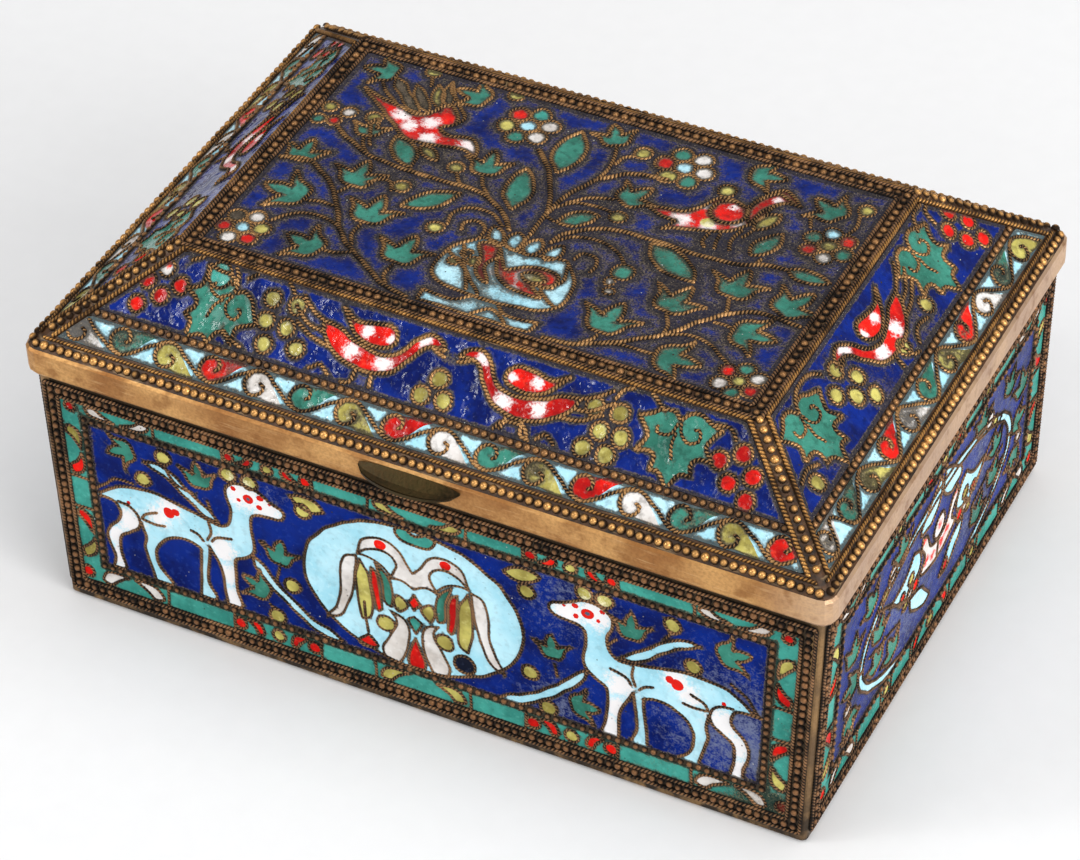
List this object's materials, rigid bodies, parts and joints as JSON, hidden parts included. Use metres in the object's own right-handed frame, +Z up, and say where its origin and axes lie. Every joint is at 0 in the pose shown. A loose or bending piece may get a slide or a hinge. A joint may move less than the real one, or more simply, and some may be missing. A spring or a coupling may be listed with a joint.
{
  "type": "cloisonne enamel box",
  "caption": "Small rectangular box with a hinged hipped lid, enamel fields with wire pictures in shallow trays, wire and shot beading on every edge and a crescent thumb lip.",
  "frame": {"origin": "centre of the flat underside of the base", "axes": "+X along the long front, to the right as seen from the front; the front with the thumb lip faces -Y; +Z up"},
  "size_m": [0.13, 0.095, 0.0623],
  "materials": {
    "lid_metal": "worn golden brass with fine scratches and brown patina",
    "base_metal": "dull brown brass, dark in the recesses",
    "hinge_metal": "rubbed brass",
    "gilt_beading": "twisted wire and shot, golden, ochre dirt between",
    "dark_beading": "twisted wire and shot, brown, rubbed bright on top",
    "filigree_wire": "twisted wire, rubbed bright on top, dark at its foot",
    "enamel_cobalt": "glossy cobalt blue enamel, pitted, with grey-brown grime along the wires",
    "enamel_turquoise": "pale turquoise enamel with grey stains",
    "enamel_teal": "blue-green enamel with small pits",
    "enamel_green": "dull green enamel",
    "enamel_red": "glossy red enamel clouded with white",
    "enamel_white": "white enamel with grey stains",
    "enamel_yellow": "grainy mustard yellow enamel"
  },
  "bodies": {
    "box": {"base_shell": "base_metal", "base_outer_beading_front": "dark_beading", "base_border_enamel_front": "enamel_teal", "base_inner_beading_front": "dark_beading", "base_field_enamel_front": "enamel_cobalt", "base_picture_wires_front": "filigree_wire", "base_outer_beading_right": "dark_beading", "base_border_enamel_right": "enamel_teal", "base_inner_beading_right": "dark_beading", "base_field_enamel_right": "enamel_cobalt", "base_picture_wires_right": "filigree_wire", "base_outer_beading_back": "dark_beading", "base_border_enamel_back": "enamel_teal", "base_inner_beading_back": "dark_beading", "base_field_enamel_back": "enamel_cobalt", "base_picture_wires_back": "filigree_wire", "base_outer_beading_left": "dark_beading", "base_border_enamel_left": "enamel_teal", "base_inner_beading_left": "dark_beading", "base_field_enamel_left": "enamel_cobalt", "base_picture_wires_left": "filigree_wire", "hinge_leaf_base": "hinge_metal", "hinge_pin": "hinge_metal"},
    "lid": {"lid_shell": "lid_metal", "lid_panel_enamel": "enamel_cobalt", "lid_picture_wires_panel": "filigree_wire", "lid_panel_beading": "dark_beading", "lid_edge_beading": "gilt_beading", "thumb_lip": "lid_metal", "hinge_leaf_lid": "hinge_metal", "lid_border_enamel_front": "enamel_turquoise", "lid_border_beading_front": "dark_beading", "lid_field_enamel_front": "enamel_cobalt", "lid_picture_wires_front": "filigree_wire", "lid_scroll_wires_front": "filigree_wire", "lid_border_enamel_right": "enamel_turquoise", "lid_border_beading_right": "dark_beading", "lid_field_enamel_right": "enamel_cobalt", "lid_picture_wires_right": "filigree_wire", "lid_scroll_wires_right": "filigree_wire", "lid_border_enamel_back": "enamel_turquoise", "lid_border_beading_back": "dark_beading", "lid_field_enamel_back": "enamel_cobalt", "lid_picture_wires_back": "filigree_wire", "lid_scroll_wires_back": "filigree_wire", "lid_border_enamel_left": "enamel_turquoise", "lid_border_beading_left": "dark_beading", "lid_field_enamel_left": "enamel_cobalt", "lid_picture_wires_left": "filigree_wire", "lid_scroll_wires_left": "filigree_wire", "lid_hip_beading_front_left": "gilt_beading", "lid_hip_beading_front_right": "gilt_beading", "lid_hip_beading_back_right": "gilt_beading", "lid_hip_beading_back_left": "gilt_beading"}
  },
  "joints": [
    {"name": "lid_hinge", "type": "hinge", "parent": "box", "child": "lid", "pos_m": [0, 0.0454, 0.0412], "axis": [-1, 0, 0], "range_deg": [0, 105]}
  ]
}
